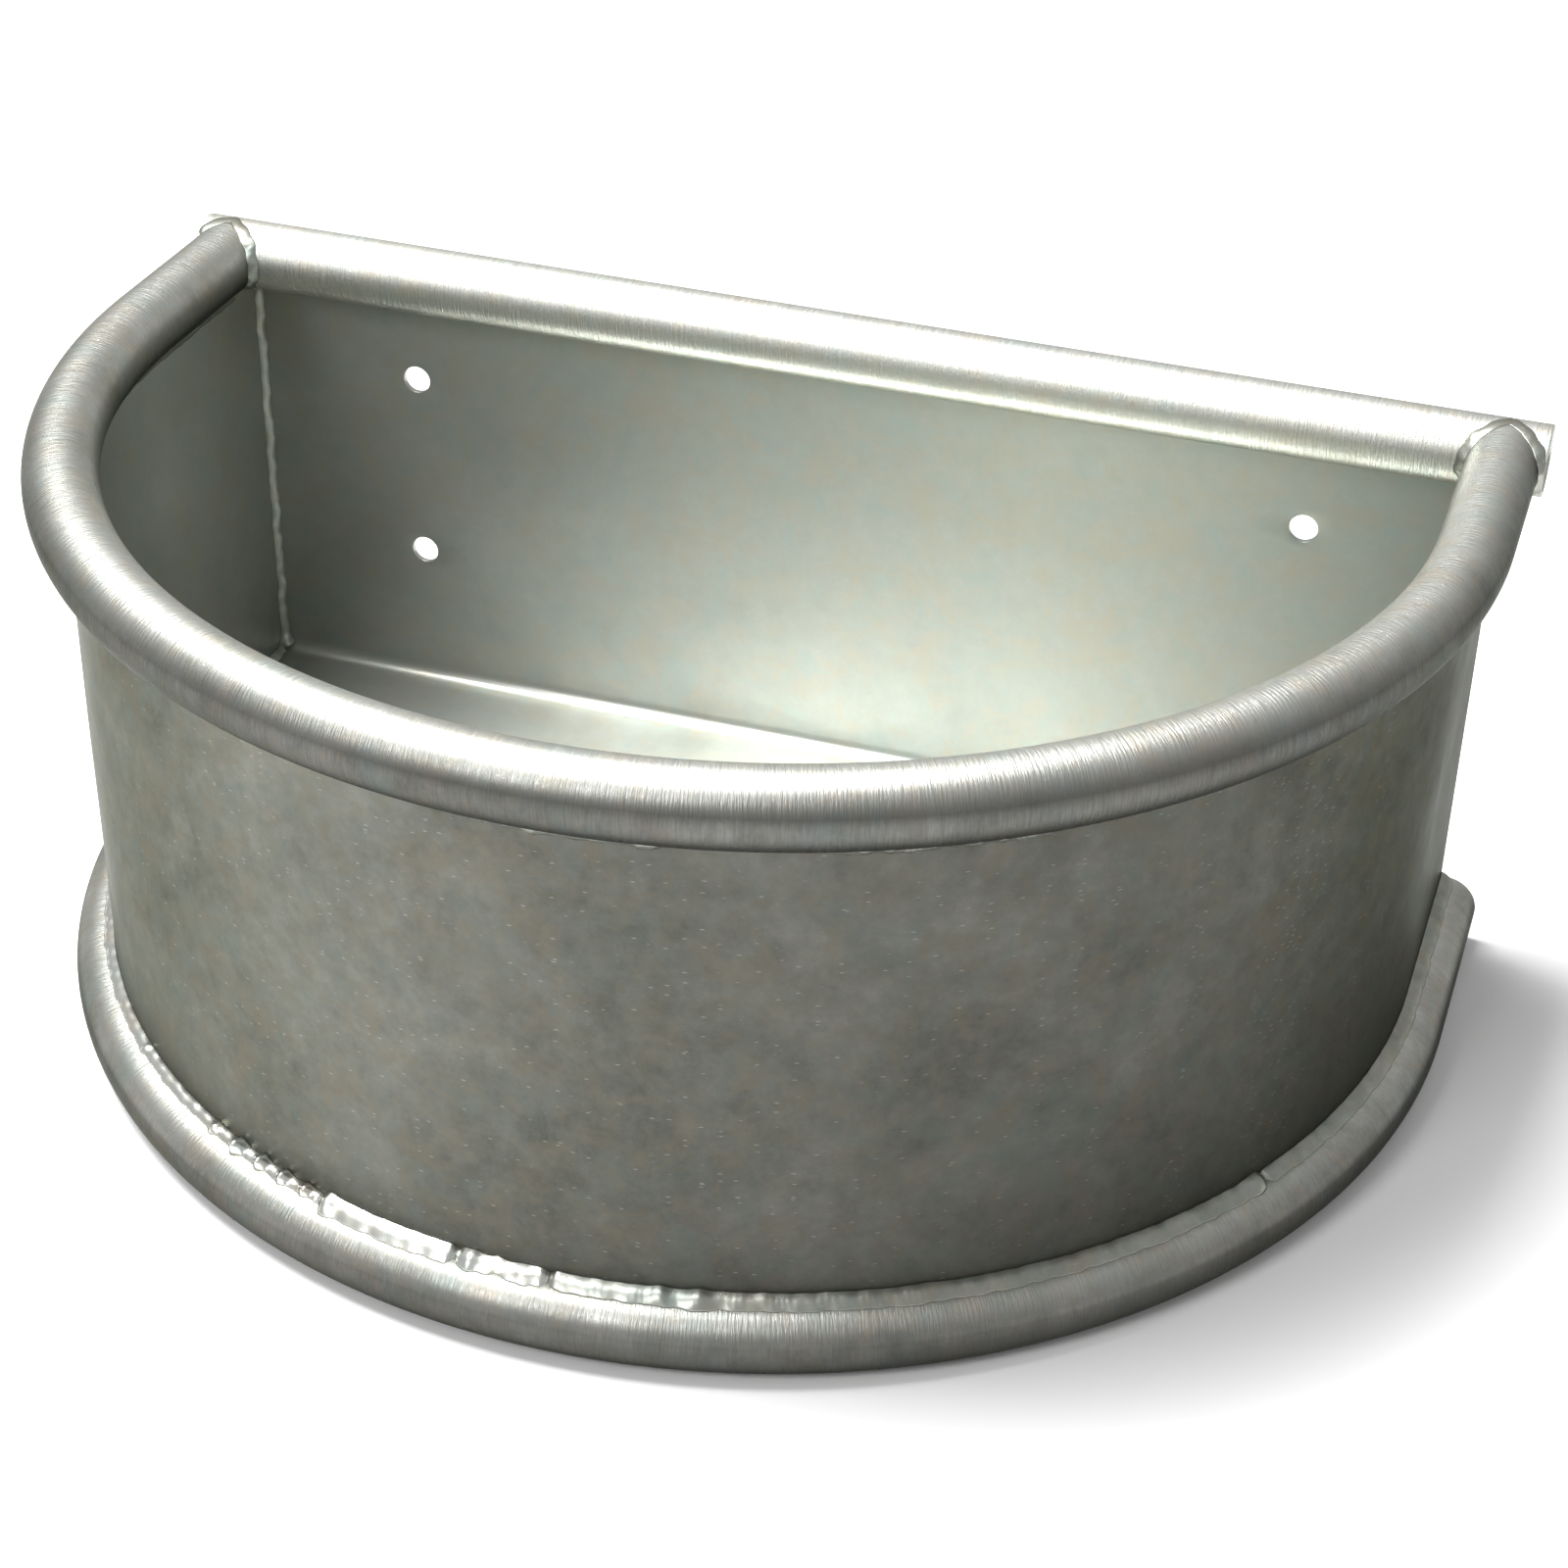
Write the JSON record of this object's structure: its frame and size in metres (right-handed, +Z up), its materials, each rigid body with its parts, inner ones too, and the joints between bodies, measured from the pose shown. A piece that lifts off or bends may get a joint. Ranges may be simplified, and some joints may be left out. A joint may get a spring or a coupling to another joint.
{
  "type": "livestock water trough",
  "caption": "D-shaped wall-hung livestock trough of galvanised sheet, with a rounded tube rim, a tube base ring and a straight tube rail across its flat bolt-on back.",
  "frame": {"origin": "under the middle of the bounding box, on the plane that the base ring rests on", "axes": "+X along the back rail, -Y from the wall towards the animal, +Z up; the back lies in a plane of constant Y"},
  "size_m": [0.6786, 0.4512, 0.2952],
  "materials": {
    "sheet": "hot-dip galvanised, satin",
    "tube": "hot-dip galvanised, satin",
    "weld": "galvanised over the weld, uneven and brighter"
  },
  "bodies": {
    "root": {"back_and_floor_sheet": "sheet", "back_corner_weld_left": "weld", "back_corner_weld_right": "weld", "base_to_wall_weld_1": "weld", "base_to_wall_weld_2": "weld", "base_to_wall_weld_3": "weld", "base_to_wall_weld_4": "weld", "base_to_wall_weld_5": "weld", "base_tube": "tube", "floor_to_wall_weld": "weld", "front_wall": "sheet", "rail_to_panel_weld": "weld", "rim_to_rail_weld_left": "weld", "rim_to_rail_weld_right": "weld", "rim_to_wall_inside_weld": "weld", "rim_to_wall_stitch_1": "weld", "rim_to_wall_stitch_2": "weld", "rim_tube": "tube", "top_rail": "tube"}
  },
  "joints": []
}
